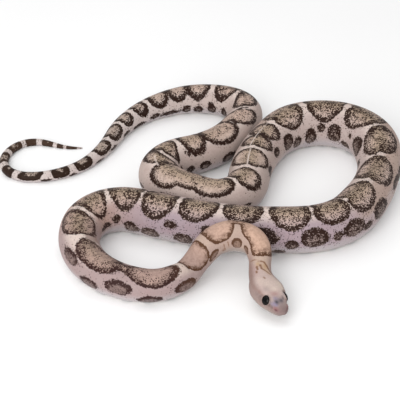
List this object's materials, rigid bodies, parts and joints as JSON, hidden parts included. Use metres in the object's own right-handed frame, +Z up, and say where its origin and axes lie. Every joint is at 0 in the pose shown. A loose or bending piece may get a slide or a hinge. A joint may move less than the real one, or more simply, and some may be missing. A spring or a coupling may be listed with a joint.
{
  "type": "scaleless rat snake",
  "caption": "Slender blotched snake at rest in open loops on a level floor, with its head and neck raised over one loop and a thin curled tail.",
  "frame": {"origin": "on the floor under the middle of the footprint", "axes": "+Z up from the floor, +X along the longer side of the footprint, to the right of one who faces the raised head; the nose points to -Y and a little to +X"},
  "size_m": [0.2066, 0.2017, 0.0244],
  "materials": {
    "skin": "smooth bare skin with a soft satin gloss",
    "eye": "wet high gloss"
  },
  "bodies": {
    "root": {"head": "skin", "lower_jaw": "skin", "eye_right": "eye", "eye_left": "eye", "neck_top": "skin", "neck_arch": "skin", "neck_base": "skin", "fore_trunk_1": "skin", "fore_trunk_2": "skin", "fore_trunk_3": "skin", "fore_trunk_4": "skin", "mid_trunk_1": "skin", "mid_trunk_2": "skin", "mid_trunk_3": "skin", "mid_trunk_4": "skin", "mid_trunk_5": "skin", "mid_trunk_6": "skin", "hind_trunk_1": "skin", "hind_trunk_2": "skin", "hind_trunk_3": "skin", "hind_trunk_4": "skin", "hind_trunk_5": "skin", "hind_trunk_6": "skin", "hind_trunk_7": "skin", "tail_1": "skin", "tail_2": "skin", "tail_3": "skin", "tail_4": "skin", "tail_5": "skin"}
  },
  "joints": []
}
